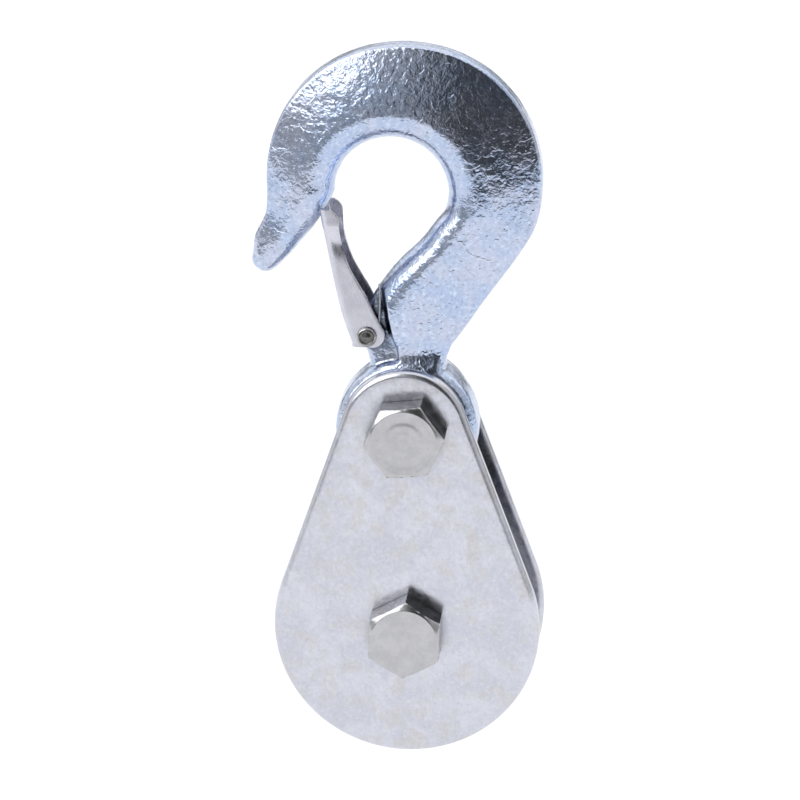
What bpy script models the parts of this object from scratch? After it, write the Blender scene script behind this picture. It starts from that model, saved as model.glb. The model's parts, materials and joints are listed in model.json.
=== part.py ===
"""Double sheave block: a forged eye hook with a sprung latch, two cheek plates, and two ball-bearing sheaves.

Frame: the origin is the hook's saddle, the top of its bowl. +Z is up, +Y runs along both bolts, from their
heads to their nuts, and X runs across the plates. All the dimensions below are in millimetres.
"""

import math

import bmesh
import bpy
from mathutils import Matrix, Vector

MM = 0.001
GAP = 0.3
CUT_REACH = 30.0

# The hook: its outline is measured from the centre of its eye, as (x, z)
SADDLE = (-5.9, 100.3)
BOWL_CENTRE = (-5.9, 81.1)
BOWL_RADIUS = SADDLE[1] - BOWL_CENTRE[1]
CROWN_CENTRE = (-1.4, 85.7)
CROWN_RADIUS = 46.4
CROWN_SQUARENESS = 2.06
HOOK_HALF = 9.0
SPINE_HALF = 4.5
SPINE_ROUNDING = 1.6
NECK_HALF = 7.2
TIP_CENTRE = (-48.7, 57.1)
TIP_AXIS = (-0.618, -0.786)
TIP_RADIUS = 4.7
TIP_HALF = 4.8
EYE_CENTRE = (-0.4, -0.9)
EYE_RADIUS = 24.4
EYE_ROUNDING = 3.5
EYE_BORE_RADIUS = 10.1

# The latch, measured from the centre of its pin
LATCH_PIN = (-13.9, 31.9)
PIN_RADIUS = 2.3
PIN_HEAD_RADIUS = 3.4
PIN_HEAD_HEIGHT = 1.3
LATCH_HALF = 6.9
LATCH_HEAD_HALF = 8.2
LATCH_SHEET = 1.1
LATCH_WAIST = (-9.2, 35.1)
LATCH_HEEL_CENTRE = (1.5, 0.6)
LATCH_HEEL_RADIUS = 4.6
LATCH_WEB_TOP = 40.2
LATCH_CUT_WIDTH = 20.0
LATCH_CUT_TOP = 50.0
RECESS_HALF = 4.3
RECESS_FLARE = 1.0
LUG_HALF = 2.4
SPRING_POCKET_RADIUS = 4.4
SPRING_WIRE = 1.0
SPRING_RADIUS = 3.2

# The cheek plates
BOLT_SPACING = 71.3
PLATE_TOP = (-0.6, 0.7)
PLATE_TOP_RADIUS = 21.6
PLATE_BOTTOM = (0.0, -70.2)
PLATE_BOTTOM_RADIUS = 45.7
BACK_PLATE_SHIFT = 0.3
PLATE_THICKNESS = 4.5
PLATE_EDGE_RADIUS = 2.2
INNER_HALF = 10.3
PLATE_FACE = INNER_HALF + PLATE_THICKNESS

# M16 bolts, nuts and washers
BOLT_RADIUS = 8.0
BOLT_HOLE_RADIUS = BOLT_RADIUS + 0.4
HEX_FLATS = 24.0
HEAD_HEIGHT = 10.0
NUT_HEIGHT = 13.0
HEX_FACE_RADIUS = 11.3
CHAMFER_SLOPE = math.tan(math.radians(30.0))
HOOK_HEAD_TURN = 6.0
AXLE_HEAD_TURN = 28.0
WASHER_RADIUS = 15.0
WASHER_THICKNESS = 3.0
LOCK_WASHER_RADIUS = 13.4
LOCK_WASHER_THICKNESS = 3.6
BOLT_PROTRUSION = 3.0

# Sheaves for 5 mm rope
SHEAVE_RADIUS = 40.0
SHEAVE_HALF = 4.2
SHEAVE_Y = 5.3
GROOVE_RADIUS = 2.75
GROOVE_CENTRE = 37.2
GROOVE_MOUTH_HALF = 3.3
SHEAVE_WEB_HALF = 2.8
HUB_RADIUS = 20.0
RIM_INNER_RADIUS = 32.5

# 20 x 32 x 7 bearings
BEARING_BORE = 10.1
BEARING_RADIUS = 15.85
BEARING_HALF = 3.5
BALL_RADIUS = 1.75
BALL_CIRCLE = 13.0
BALL_COUNT = 9
RACE_GROOVE = BALL_RADIUS + GAP
INNER_RACE_RADIUS = 11.7
OUTER_RACE_BORE = 14.3
CAGE_HALF = 2.6
CAGE_HALF_WALL = 0.7
SHIELD_THICKNESS = 0.3
SHIELD_OFFSET = 3.0

# What sits on the axle between the plates
SLEEVE_RADIUS = BEARING_BORE - GAP
SLEEVE_BORE = BOLT_RADIUS + GAP
SLEEVE_HALF = INNER_HALF - GAP
DIVIDER_RADIUS = 41.0
DIVIDER_HALF = 0.6
DIVIDER_HUB_RADIUS = 12.0
DIVIDER_HUB_HALF = SHEAVE_Y - BEARING_HALF - GAP
SPACER_RADIUS = 12.5
SPACER_THICKNESS = 0.9

MATERIALS = {
    "forged_zinc": ((0.62, 0.68, 0.80), 0.9, 0.34),
    "plate_zinc": ((0.74, 0.74, 0.76), 0.9, 0.36),
    "bolt_zinc": ((0.66, 0.64, 0.61), 0.95, 0.28),
    "stainless_sheet": ((0.70, 0.70, 0.71), 0.95, 0.32),
    "dark_steel": ((0.26, 0.26, 0.27), 0.9, 0.35),
    "spring_steel": ((0.36, 0.37, 0.38), 0.95, 0.3),
    "sheave_steel": ((0.50, 0.51, 0.53), 0.9, 0.38),
    "bearing_steel": ((0.72, 0.73, 0.74), 1.0, 0.18),
    "cage_brass": ((0.72, 0.56, 0.28), 1.0, 0.35),
}


# ---------------------------------------------------------------- scene helpers


def clear_scene():
    for obj in list(bpy.data.objects):
        bpy.data.objects.remove(obj, do_unlink=True)


def make_material(name):
    colour, metallic, roughness = MATERIALS[name]
    material = bpy.data.materials.new(name)
    material.use_nodes = True
    shader = material.node_tree.nodes["Principled BSDF"]
    shader.inputs["Base Color"].default_value = (*colour, 1.0)
    shader.inputs["Metallic"].default_value = metallic
    shader.inputs["Roughness"].default_value = roughness
    return material


def make_axis(name, parent, x, z):
    """An empty on a joint's axis, which the pieces round that axis hang from."""
    axis = bpy.data.objects.new(name, None)
    axis.empty_display_size = 10 * MM
    axis.parent = parent
    axis.location = (x * MM, 0.0, z * MM)
    bpy.context.scene.collection.objects.link(axis)
    return axis


def add_piece(name, bm, material, parent, y=0.0, turn=0.0):
    """Link a mesh drawn in millimetres, at height y along the axis of its parent and turned about it."""
    bmesh.ops.scale(bm, vec=(MM, MM, MM), verts=bm.verts)
    bmesh.ops.recalc_face_normals(bm, faces=bm.faces)
    mesh = bpy.data.meshes.new(name)
    bm.to_mesh(mesh)
    bm.free()
    mesh.shade_smooth()
    mesh.set_sharp_from_angle(angle=math.radians(35.0))
    piece = bpy.data.objects.new(name, mesh)
    piece.data.materials.append(material)
    piece.parent = parent
    piece.location = (0.0, y * MM, 0.0)
    piece.rotation_euler = (0.0, math.radians(-turn), 0.0)
    bpy.context.scene.collection.objects.link(piece)
    return piece


def combine(piece, operation, tool):
    """Join, cut or intersect a piece with a tool shape, which is then only a guide."""
    tool.hide_render = True
    tool.display_type = "WIRE"
    modifier = piece.modifiers.new(tool.name, "BOOLEAN")
    modifier.operation = operation
    modifier.solver = "EXACT"
    modifier.object = tool


# ---------------------------------------------------------------- shape helpers


def polar(centre, radius, degrees):
    angle = math.radians(degrees)
    return (centre[0] + radius * math.cos(angle), centre[1] + radius * math.sin(angle))


def arc(centre, radius, start, end, steps):
    return [polar(centre, radius, start + (end - start) * i / steps) for i in range(steps + 1)]


def prism(outline, low, high):
    """A plate whose outline is given as (x, z), from y = low to y = high."""
    bm = bmesh.new()
    face = bm.faces.new([bm.verts.new((x, low, z)) for x, z in outline])
    grown = bmesh.ops.extrude_face_region(bm, geom=[face])
    moved = [item for item in grown["geom"] if isinstance(item, bmesh.types.BMVert)]
    bmesh.ops.translate(bm, verts=moved, vec=(0.0, high - low, 0.0))
    return bm


def turned(profile, steps=30):
    """A ring: a closed profile of (radius, y) points, spun about the Y axis."""
    bm = bmesh.new()
    verts = [bm.verts.new((radius, y, 0.0)) for radius, y in profile]
    edges = [bm.edges.new((verts[i - 1], verts[i])) for i in range(len(verts))]
    bmesh.ops.spin(
        bm, geom=verts + edges, cent=(0, 0, 0), axis=(0, 1, 0), angle=2 * math.pi, steps=steps, use_merge=True
    )
    bmesh.ops.remove_doubles(bm, verts=bm.verts, dist=0.001)
    return bm


def tube(inner, outer, low, high, steps=30):
    return turned([(inner, low), (outer, low), (outer, high), (inner, high)], steps)


def disc(profile, steps=36):
    """A solid of revolution: (radius, y) points from the axis at the bottom to the axis at the top."""
    bm = bmesh.new()
    rings = []
    for radius, y in profile[1:-1]:
        rings.append([bm.verts.new((x, y, z)) for x, z in arc((0, 0), radius, 0, 360, steps)[:-1]])
    for lower, upper in zip(rings, rings[1:]):
        for i in range(steps):
            bm.faces.new((lower[i - 1], lower[i], upper[i], upper[i - 1]))
    for ring in (rings[0], rings[-1]):
        bm.faces.new(ring)
    return bm


def cylinder(radius, low, high, steps=36):
    return disc([(0, low), (radius, low), (radius, high), (0, high)], steps)


def loft(rings):
    """A closed skin through rings of (x, y, z) points, capped at both ends."""
    bm = bmesh.new()
    placed = [[bm.verts.new(point) for point in ring] for ring in rings]
    for one, two in zip(placed, placed[1:]):
        for i in range(len(one)):
            bm.faces.new((one[i - 1], one[i], two[i], two[i - 1]))
    bm.faces.new(placed[0])
    bm.faces.new(placed[-1])
    return bm


def hexagon(flats):
    return [polar((0, 0), flats / math.sqrt(3.0), 60 * i) for i in range(6)]


# ---------------------------------------------------------------- hook


def on_crown(degrees):
    """Where a ray from the bowl's centre meets the crown, a slightly squared circle."""
    near, far = BOWL_RADIUS, 2 * CROWN_RADIUS
    for _ in range(40):
        middle = (near + far) / 2
        x, z = polar(BOWL_CENTRE, middle, degrees)
        across = abs((x - CROWN_CENTRE[0]) / CROWN_RADIUS) ** CROWN_SQUARENESS
        along = abs((z - CROWN_CENTRE[1]) / CROWN_RADIUS) ** CROWN_SQUARENESS
        if across + along < 1:
            near = middle
        else:
            far = middle
    return (x, z)


def hook_stations():
    """Stations from the tip to the neck: inner edge, outer edge, inner and outer half thickness, outer rounding."""
    across = (TIP_AXIS[1], -TIP_AXIS[0])
    stations = []
    for degrees in (78, 55, 30):
        reach = TIP_RADIUS * math.sin(math.radians(degrees))
        shrink = math.cos(math.radians(degrees))
        x = TIP_CENTRE[0] + TIP_AXIS[0] * reach
        z = TIP_CENTRE[1] + TIP_AXIS[1] * reach
        side = TIP_RADIUS * shrink
        half = TIP_HALF * shrink
        inner = (x - across[0] * side, z - across[1] * side)
        outer = (x + across[0] * side, z + across[1] * side)
        stations.append((inner, outer, half, half, half * 0.9))
    stations += [
        ((-44.5, 54.4), (-52.8, 60.4), 5.0, 4.6, 3.8),
        ((-40.3, 58.7), (-52.2, 65.1), 5.9, 4.3, 2.8),
        ((-36.0, 64.0), (-49.9, 69.7), 6.8, 4.2, 2.2),
        ((-31.8, 69.2), (-48.2, 74.0), 7.7, 4.3, 1.8),
        ((-28.1, 74.8), (-47.7, 79.4), 8.5, SPINE_HALF, SPINE_ROUNDING),
    ]
    for degrees in range(180, -1, -12):
        inner = polar(BOWL_CENTRE, BOWL_RADIUS, degrees)
        stations.append((inner, on_crown(degrees), HOOK_HALF, SPINE_HALF, SPINE_ROUNDING))
    return stations + [
        ((12.2, 75.4), (44.3, 76.2), HOOK_HALF, 4.6, 1.8),
        ((8.5, 70.6), (42.3, 69.4), HOOK_HALF, 4.8, 2.0),
        ((3.9, 64.5), (37.7, 61.4), HOOK_HALF, 5.2, 2.4),
        ((-1.9, 58.8), (31.7, 52.7), HOOK_HALF, 5.3, 2.8),
        ((-7.0, 53.0), (25.5, 44.1), HOOK_HALF, 5.4, 3.0),
        ((-11.2, 46.8), (20.6, 36.7), HOOK_HALF, 5.6, 3.2),
        ((-14.6, 40.1), (16.9, 31.5), HOOK_HALF, 6.0, 3.5),
        ((-17.8, 34.2), (14.6, 28.3), HOOK_HALF, 6.4, 3.8),
        ((-17.4, 30.5), (13.7, 25.7), 8.5, 6.8, 4.0),
        ((-14.8, 26.4), (12.8, 23.6), 7.8, NECK_HALF, 4.0),
        ((-13.4, 21.6), (12.5, 20.6), NECK_HALF, NECK_HALF, 4.0),
        ((-12.0, 15.0), (11.5, 14.4), NECK_HALF - GAP, NECK_HALF - GAP, 3.4),
    ]


def hook_ring(inner, outer, inner_half, outer_half, rounding):
    """One forged section: a round nose on the bowl's side that tapers to a narrow spine with rounded edges."""
    width = math.dist(inner, outer)
    nose = min(inner_half, 0.42 * width)
    side = []
    for degrees in (22, 42, 60, 76, 90):
        angle = math.radians(degrees)
        side.append((nose * (1 - math.cos(angle)), inner_half * math.sin(angle)))
    for degrees in (80, 45, 10):
        angle = math.radians(degrees)
        depth = width - rounding * (1 - math.cos(angle))
        side.append((depth, outer_half - rounding * (1 - math.sin(angle))))
    loop = [(0.0, 0.0)] + side + [(width, 0.0)] + [(depth, -half) for depth, half in reversed(side)]
    step = ((outer[0] - inner[0]) / width, (outer[1] - inner[1]) / width)
    return [(inner[0] + step[0] * depth, half, inner[1] + step[1] * depth) for depth, half in loop]


def recess_outline():
    """Where the shank is thinned for the latch's flanges, from the bowl's side down to the eye."""
    shank_side = [(-6.6, 49.5), (-6.2, 41.5), (-4.9, 35.0), (-1.6, 28.6)]
    eye_side = arc(EYE_CENTRE, EYE_RADIUS + 1.6, 92, 146, 4)
    open_side = [(-45.0, 14.7), (-45.0, 31.0), (-22.0, 37.0), (-14.0, 43.0)]
    return shank_side + eye_side + open_side


def recess_shape():
    """The recess as a cutter: its walls lean out a little from its floor."""
    floor = recess_outline()
    mouth = []
    for i, (x, z) in enumerate(floor):
        before, after = floor[i - 1], floor[(i + 1) % len(floor)]
        along = Vector((after[0] - before[0], after[1] - before[1])).normalized()
        mouth.append((x - along.y * RECESS_FLARE, z + along.x * RECESS_FLARE))
    high = HOOK_HALF + 2.0
    return loft([[(x, RECESS_HALF, z) for x, z in floor], [(x, high, z) for x, z in mouth]])


def make_hook(material, pivot, pin_axis):
    hook = add_piece("hook_body", loft([hook_ring(*station) for station in hook_stations()]), material, pivot)
    upper = arc((EYE_RADIUS - EYE_ROUNDING, HOOK_HALF - EYE_ROUNDING), EYE_ROUNDING, 90, 0, 4)
    eye = disc([(0, 0)] + [(radius, -y) for radius, y in upper] + upper[::-1] + [(0, 0)], 48)
    bmesh.ops.translate(eye, verts=eye.verts, vec=(EYE_CENTRE[0], 0, EYE_CENTRE[1]))
    combine(hook, "UNION", add_piece("eye_shape", eye, material, pivot))
    combine(hook, "DIFFERENCE", add_piece("eye_bore", cylinder(EYE_BORE_RADIUS, -CUT_REACH, CUT_REACH, 36), material, pivot))
    for side, label in ((-1, "front"), (1, "back")):
        recess = recess_shape()
        bmesh.ops.scale(recess, vec=(1, side, 1), verts=recess.verts)
        combine(hook, "DIFFERENCE", add_piece(f"latch_recess_{label}", recess, material, pivot))
        low, high = sorted((side * LUG_HALF, side * CUT_REACH))
        pocket = cylinder(SPRING_POCKET_RADIUS, low, high, 24)
        combine(hook, "DIFFERENCE", add_piece(f"spring_pocket_{label}", pocket, material, pin_axis))
    hole = add_piece("pin_hole", cylinder(PIN_RADIUS + GAP, -CUT_REACH, CUT_REACH, 20), material, pin_axis)
    combine(hook, "DIFFERENCE", hole)


# ---------------------------------------------------------------- latch


def latch_left_edge():
    return [(-5.2, -2.4), (-8.5, 6.9), (-11.3, 19.6), (-14.0, 33.5), (-15.9, 45.3)]


def latch_head():
    return [(-13.6, 45.2), (-11.3, 44.2), (-9.6, 42.4), (-9.2, 41.0), LATCH_WAIST]


def latch_outline():
    """The flange's outline, from the lower left corner clockwise: left edge, head, hollow edge and round heel."""
    heel_top = polar(LATCH_HEEL_CENTRE, LATCH_HEEL_RADIUS, 42)
    chord = Vector((heel_top[0] - LATCH_WAIST[0], heel_top[1] - LATCH_WAIST[1]))
    hollow = Vector((chord.y, -chord.x)).normalized() * 2.8
    edge = []
    for i in range(1, 8):
        along = i / 8
        bow = 4 * along * (1 - along)
        x = LATCH_WAIST[0] + chord.x * along + hollow.x * bow
        edge.append((x, LATCH_WAIST[1] + chord.y * along + hollow.y * bow))
    heel = arc(LATCH_HEEL_CENTRE, LATCH_HEEL_RADIUS, 42, -115, 8)
    return latch_left_edge() + latch_head() + edge + heel


def make_latch(material, pin_axis):
    """A channel folded from sheet: a web on its outer side and two flanges, set wider apart at the head."""
    latch = add_piece("latch", prism(latch_outline(), -LATCH_HALF, LATCH_HALF), material, pin_axis)
    left = latch_left_edge()
    step = LATCH_WAIST[1]
    head_outline = [(-14.25, step), left[-1]] + latch_head()
    head = prism(head_outline, -LATCH_HEAD_HALF, LATCH_HEAD_HALF)
    combine(latch, "UNION", add_piece("latch_head", head, material, pin_axis))

    inside = [(x + LATCH_SHEET * 1.02, z) for x, z in left[:4]]
    inside[0] = (inside[0][0] + 1.1, -LATCH_CUT_WIDTH / 2)
    web_end = (inside[3][0] - 1.3, LATCH_WEB_TOP)
    above = [web_end, (-LATCH_CUT_WIDTH, LATCH_WEB_TOP), (-LATCH_CUT_WIDTH, LATCH_CUT_TOP)]
    half = LATCH_HALF - LATCH_SHEET
    open_side = [(LATCH_CUT_WIDTH, LATCH_CUT_TOP), (LATCH_CUT_WIDTH, -LATCH_CUT_WIDTH / 2)]
    channel = prism(inside + above + open_side, -half, half)
    combine(latch, "DIFFERENCE", add_piece("latch_channel", channel, material, pin_axis))
    half = LATCH_HEAD_HALF - LATCH_SHEET
    floor = step + LATCH_SHEET
    open_side[1] = (LATCH_CUT_WIDTH, floor)
    head_channel = prism([(inside[3][0] - 0.3, floor)] + above + open_side, -half, half)
    combine(latch, "DIFFERENCE", add_piece("latch_head_channel", head_channel, material, pin_axis))
    hole = add_piece("latch_holes", cylinder(PIN_RADIUS + GAP, -CUT_REACH, CUT_REACH, 20), material, pin_axis)
    combine(latch, "DIFFERENCE", hole)


def make_latch_pin(material, pin_axis):
    face = LATCH_HALF + GAP
    top = face + PIN_HEAD_HEIGHT
    half = [(PIN_RADIUS, face), (PIN_HEAD_RADIUS, face), (PIN_HEAD_RADIUS - 0.2, face + 0.8), (2.2, top)]
    profile = [(0, -top)] + [(radius, -y) for radius, y in reversed(half)] + half + [(0, top)]
    add_piece("latch_pin", disc(profile, 20), material, pin_axis)


def make_latch_spring(material, pin_axis):
    """A torsion spring: one leg on the shank, one and a half turns round the pin, one leg inside the latch's web."""
    near, far = -5.1, -3.2
    steps = 18
    path = [(4.7, near, 18.2)]
    for i in range(steps + 1):
        x, z = polar((0, 0), SPRING_RADIUS, -540 * i / steps)
        path.append((x, near + (far - near) * i / steps, z))
    path.append((-7.2, far, 13.5))
    curve = bpy.data.curves.new("latch_spring", "CURVE")
    curve.dimensions = "3D"
    curve.bevel_depth = SPRING_WIRE / 2 * MM
    curve.bevel_resolution = 2
    curve.use_fill_caps = True
    spline = curve.splines.new("POLY")
    spline.points.add(len(path) - 1)
    for point, place in zip(spline.points, path):
        point.co = (place[0] * MM, place[1] * MM, place[2] * MM, 1.0)
    curve.materials.append(material)
    spring = bpy.data.objects.new("latch_spring", curve)
    spring.parent = pin_axis
    bpy.context.scene.collection.objects.link(spring)


# ---------------------------------------------------------------- block


def plate_outline():
    """Two arcs near the two bolts, joined by their outer tangents."""
    lean = math.degrees(math.asin((PLATE_BOTTOM_RADIUS - PLATE_TOP_RADIUS) / math.dist(PLATE_TOP, PLATE_BOTTOM)))
    tilt = math.degrees(math.atan2(PLATE_TOP[0] - PLATE_BOTTOM[0], PLATE_TOP[1] - PLATE_BOTTOM[1]))
    top = arc(PLATE_TOP, PLATE_TOP_RADIUS, lean - tilt, 180 - lean - tilt, 16)
    bottom = arc(PLATE_BOTTOM, PLATE_BOTTOM_RADIUS, 180 - lean - tilt, 360 + lean - tilt, 32)
    return top + bottom


def make_cheek_plate(name, side, shift, material, pivot):
    bm = prism([(x + shift, z) for x, z in plate_outline()], INNER_HALF, PLATE_FACE)
    rim = [edge for edge in bm.edges if all(vert.co.y > PLATE_FACE - 0.01 for vert in edge.verts)]
    bmesh.ops.bevel(bm, geom=rim, offset=PLATE_EDGE_RADIUS, segments=3, profile=0.5, affect="EDGES")
    bmesh.ops.scale(bm, vec=(1, side, 1), verts=bm.verts)
    plate = add_piece(name, bm, material, pivot)
    for z, place in ((0.0, "top"), (-BOLT_SPACING, "bottom")):
        hole = cylinder(BOLT_HOLE_RADIUS, -CUT_REACH, CUT_REACH, 32)
        bmesh.ops.translate(hole, verts=hole.verts, vec=(0, 0, z))
        combine(plate, "DIFFERENCE", add_piece(f"{name}_{place}_hole", hole, material, pivot))


def hex_envelope(height, both_ends, bore):
    """The turned shape that chamfers a hexagon: (radius, y) from y = 0, its seat, to y = height."""
    reach = HEX_FLATS / math.sqrt(3.0) + 0.5
    drop = (reach - HEX_FACE_RADIUS) * CHAMFER_SLOPE
    low = [(HEX_FACE_RADIUS, 0), (reach, drop)] if both_ends else [(reach, 0)]
    high = [(reach, height - drop), (HEX_FACE_RADIUS, height)]
    if bore:
        return turned([(bore, 0)] + low + high + [(bore, height)], 36)
    return disc([(0, 0)] + low + high + [(0, height)], 36)


def make_bolt(name, head_turn, material, axis):
    seat = -(PLATE_FACE + GAP)
    end = PLATE_FACE + WASHER_THICKNESS + LOCK_WASHER_THICKNESS + NUT_HEIGHT + 3 * GAP + BOLT_PROTRUSION
    bolt = add_piece(name, prism(hexagon(HEX_FLATS), -HEAD_HEIGHT, 0), material, axis, seat, head_turn)
    envelope = hex_envelope(HEAD_HEIGHT, False, 0)
    bmesh.ops.scale(envelope, vec=(1, -1, 1), verts=envelope.verts)
    combine(bolt, "INTERSECT", add_piece(f"{name}_chamfer", envelope, material, axis, seat))
    shank = disc([(0, seat - 2), (BOLT_RADIUS, seat - 2), (BOLT_RADIUS, end - 1.5), (6.6, end), (0, end)], 32)
    combine(bolt, "UNION", add_piece(f"{name}_shank", shank, material, axis))


def make_nut_and_washers(name, turn, material, dark_material, axis):
    y = PLATE_FACE + GAP
    washer = tube(BOLT_HOLE_RADIUS, WASHER_RADIUS, 0, WASHER_THICKNESS)
    add_piece(f"{name}_washer", washer, material, axis, y)
    y += WASHER_THICKNESS + GAP
    add_piece(f"{name}_lock_washer", split_ring(), dark_material, axis, y)
    y += LOCK_WASHER_THICKNESS + GAP
    nut = add_piece(f"{name}_nut", prism(hexagon(HEX_FLATS), 0, NUT_HEIGHT), material, axis, y, turn)
    envelope = hex_envelope(NUT_HEIGHT, True, BOLT_RADIUS + GAP)
    combine(nut, "INTERSECT", add_piece(f"{name}_nut_chamfer", envelope, material, axis, y))


def split_ring():
    """A spring lock washer: a ring cut through at one place."""
    inner, outer = BOLT_HOLE_RADIUS, LOCK_WASHER_RADIUS
    opening = 9.0
    steps = 28
    rings = []
    for i in range(steps + 1):
        degrees = 90 + opening + (360 - 2 * opening) * i / steps
        near = polar((0, 0), inner, degrees)
        far = polar((0, 0), outer, degrees)
        corners = ((near, 0), (far, 0), (far, LOCK_WASHER_THICKNESS), (near, LOCK_WASHER_THICKNESS))
        rings.append([(point[0], y, point[1]) for point, y in corners])
    return loft(rings)


def make_sleeve(name, material, axis):
    add_piece(name, tube(SLEEVE_BORE, SLEEVE_RADIUS, -SLEEVE_HALF, SLEEVE_HALF), material, axis)


def make_divider(material, axis):
    """A thin disc between the sheaves, with a thicker hub that the inner races rest against."""
    upper = [
        (BEARING_BORE, DIVIDER_HUB_HALF),
        (DIVIDER_HUB_RADIUS, DIVIDER_HUB_HALF),
        (DIVIDER_HUB_RADIUS, DIVIDER_HALF),
        (DIVIDER_RADIUS, DIVIDER_HALF),
    ]
    profile = upper + [(radius, -y) for radius, y in reversed(upper)]
    add_piece("divider_disc", turned(profile, 40), material, axis)


# ---------------------------------------------------------------- sheaves and bearings


def make_sheave(name, y, material, axis):
    bore = BEARING_RADIUS + GAP
    groove = arc((GROOVE_CENTRE, 0), GROOVE_RADIUS, 110, 250, 6)
    half = [
        (bore, SHEAVE_HALF),
        (HUB_RADIUS, SHEAVE_HALF),
        (HUB_RADIUS + 1.4, SHEAVE_WEB_HALF),
        (RIM_INNER_RADIUS - 1.4, SHEAVE_WEB_HALF),
        (RIM_INNER_RADIUS, SHEAVE_HALF),
        (SHEAVE_RADIUS - 0.4, SHEAVE_HALF),
        (SHEAVE_RADIUS, GROOVE_MOUTH_HALF),
    ]
    profile = half + groove + [(radius, -width) for radius, width in reversed(half)]
    add_piece(name, turned(profile, 40), material, axis, y)


def make_bearing(side, y, steel, brass, axis):
    reach = math.sqrt(RACE_GROOVE**2 - (BALL_CIRCLE - INNER_RACE_RADIUS) ** 2)
    low = math.degrees(math.asin(reach / RACE_GROOVE))
    groove = arc((BALL_CIRCLE, 0), RACE_GROOVE, 180 + low, 180 - low, 4)
    ends = [(INNER_RACE_RADIUS, BEARING_HALF), (BEARING_BORE, BEARING_HALF)]
    inner = [(BEARING_BORE, -BEARING_HALF), (INNER_RACE_RADIUS, -BEARING_HALF)] + groove + ends
    add_piece(f"{side}_inner_race", turned(inner), steel, axis, y)

    reach = math.sqrt(RACE_GROOVE**2 - (OUTER_RACE_BORE - BALL_CIRCLE) ** 2)
    low = math.degrees(math.asin(reach / RACE_GROOVE))
    groove = arc((BALL_CIRCLE, 0), RACE_GROOVE, -low, low, 4)
    ends = [(OUTER_RACE_BORE, BEARING_HALF), (BEARING_RADIUS, BEARING_HALF)]
    outer = [(BEARING_RADIUS, -BEARING_HALF), (OUTER_RACE_BORE, -BEARING_HALF)] + groove + ends
    add_piece(f"{side}_outer_race", turned(outer), steel, axis, y)

    cage_inner, cage_outer = BALL_CIRCLE - CAGE_HALF_WALL, BALL_CIRCLE + CAGE_HALF_WALL
    cage = add_piece(f"{side}_cage", tube(cage_inner, cage_outer, -CAGE_HALF, CAGE_HALF, 36), brass, axis, y)
    for i in range(BALL_COUNT):
        degrees = 360 * i / BALL_COUNT
        make_ball(f"{side}_ball_{i + 1}", degrees, steel, axis, y)
        pocket = cylinder(RACE_GROOVE, BALL_CIRCLE - 2, BALL_CIRCLE + 2, 10)
        bmesh.ops.rotate(pocket, verts=pocket.verts, cent=(0, 0, 0), matrix=Matrix.Rotation(math.pi / 2, 3, "X"))
        tool = add_piece(f"{side}_pocket_{i + 1}", pocket, brass, axis, y, degrees - 90)
        combine(cage, "DIFFERENCE", tool)

    for end in (-1, 1):
        low, high = sorted((end * SHIELD_OFFSET, end * (SHIELD_OFFSET + SHIELD_THICKNESS)))
        shield = tube(INNER_RACE_RADIUS + GAP, OUTER_RACE_BORE - GAP, low, high)
        place = "outer" if end * y > 0 else "inner"
        add_piece(f"{side}_{place}_shield", shield, steel, axis, y)

    out = 1 if y > 0 else -1
    offset = abs(y) + BEARING_HALF + GAP
    low, high = sorted((out * offset, out * (offset + SPACER_THICKNESS)))
    add_piece(f"{side}_spacer", tube(BEARING_BORE, SPACER_RADIUS, low, high), steel, axis)


def make_ball(name, degrees, material, axis, y):
    bm = bmesh.new()
    bmesh.ops.create_uvsphere(bm, u_segments=8, v_segments=6, radius=BALL_RADIUS)
    x, z = polar((0, 0), BALL_CIRCLE, degrees)
    bmesh.ops.translate(bm, verts=bm.verts, vec=(x, 0, z))
    add_piece(name, bm, material, axis, y)


# ---------------------------------------------------------------- assembly


def main():
    clear_scene()
    materials = {name: make_material(name) for name in MATERIALS}
    pivot = make_axis("hook_bolt_axis", None, -SADDLE[0], -SADDLE[1])
    pin_axis = make_axis("latch_pin_axis", pivot, *LATCH_PIN)
    axle = make_axis("axle_axis", pivot, 0.0, -BOLT_SPACING)

    make_hook(materials["forged_zinc"], pivot, pin_axis)
    make_latch(materials["stainless_sheet"], pin_axis)
    make_latch_pin(materials["dark_steel"], pin_axis)
    make_latch_spring(materials["spring_steel"], pin_axis)

    make_cheek_plate("front_cheek_plate", -1, 0.0, materials["plate_zinc"], pivot)
    make_cheek_plate("back_cheek_plate", 1, BACK_PLATE_SHIFT, materials["plate_zinc"], pivot)
    make_bolt("hook_bolt", HOOK_HEAD_TURN, materials["bolt_zinc"], pivot)
    make_bolt("axle_bolt", AXLE_HEAD_TURN, materials["bolt_zinc"], axle)
    make_nut_and_washers("hook_bolt", 20.0, materials["bolt_zinc"], materials["dark_steel"], pivot)
    make_nut_and_washers("axle_bolt", 4.0, materials["bolt_zinc"], materials["dark_steel"], axle)
    make_sleeve("hook_sleeve", materials["bearing_steel"], pivot)
    make_sleeve("axle_sleeve", materials["bearing_steel"], axle)
    make_divider(materials["plate_zinc"], axle)

    for side, y in (("front", -SHEAVE_Y), ("back", SHEAVE_Y)):
        make_sheave(f"{side}_sheave", y, materials["sheave_steel"], axle)
        make_bearing(side, y, materials["bearing_steel"], materials["cage_brass"], axle)


main()
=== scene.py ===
"""Looks of the double sheave block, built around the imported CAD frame.

Shapes are drawn in millimetres as (x, y, z) from the hook bolt's axis, and moved into the frame in metres once they
are finished. +Y runs along the bolts from their heads to their nuts, and +Z is up.
"""

import json
import math

import bmesh
import bpy
import numpy as np
from mathutils import Euler, Matrix, Vector, noise


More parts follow.
